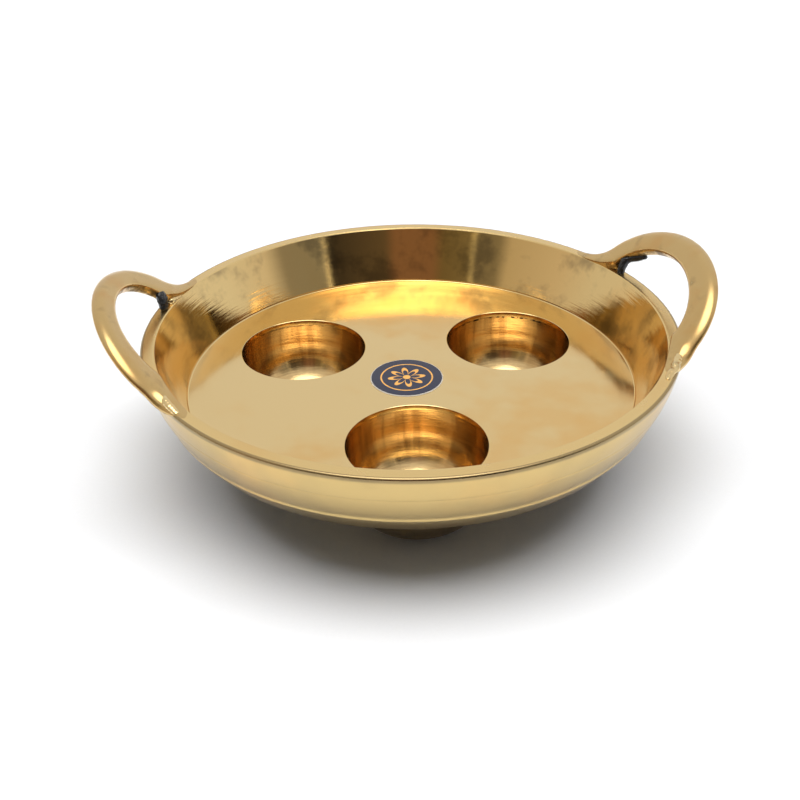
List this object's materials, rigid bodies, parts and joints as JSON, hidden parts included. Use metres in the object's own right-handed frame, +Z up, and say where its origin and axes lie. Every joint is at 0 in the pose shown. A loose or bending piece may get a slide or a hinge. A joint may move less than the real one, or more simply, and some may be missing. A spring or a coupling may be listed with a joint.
{
  "type": "brass pit pan",
  "caption": "Shallow turned brass bowl with deep round cups sunk through its flat floor, which it stands on, and tilted loop handles on the rim.",
  "frame": {"origin": "on the table under the bowl's axis, midway between the handles", "axes": "+X through the right handle, +Z up; the bowl is round about Z"},
  "size_m": [0.229, 0.1998, 0.0778],
  "materials": {
    "bowl_brass": "turned and buffed",
    "cup_brass": "turned, left with fine rings",
    "handle_brass": "as cast, filed and buffed on top",
    "braze": "lumpy braze metal",
    "label_paper": "coated paper, half gloss"
  },
  "bodies": {
    "root": {"bowl": "bowl_brass", "cup_right": "cup_brass", "cup_left": "cup_brass", "cup_front": "cup_brass", "cup_braze_right": "braze", "cup_braze_left": "braze", "cup_braze_front": "braze", "handle_right": "handle_brass", "handle_left": "handle_brass", "handle_braze_right_rear": "braze", "handle_braze_right_front": "braze", "handle_braze_left_rear": "braze", "handle_braze_left_front": "braze", "label": "label_paper"}
  },
  "joints": []
}
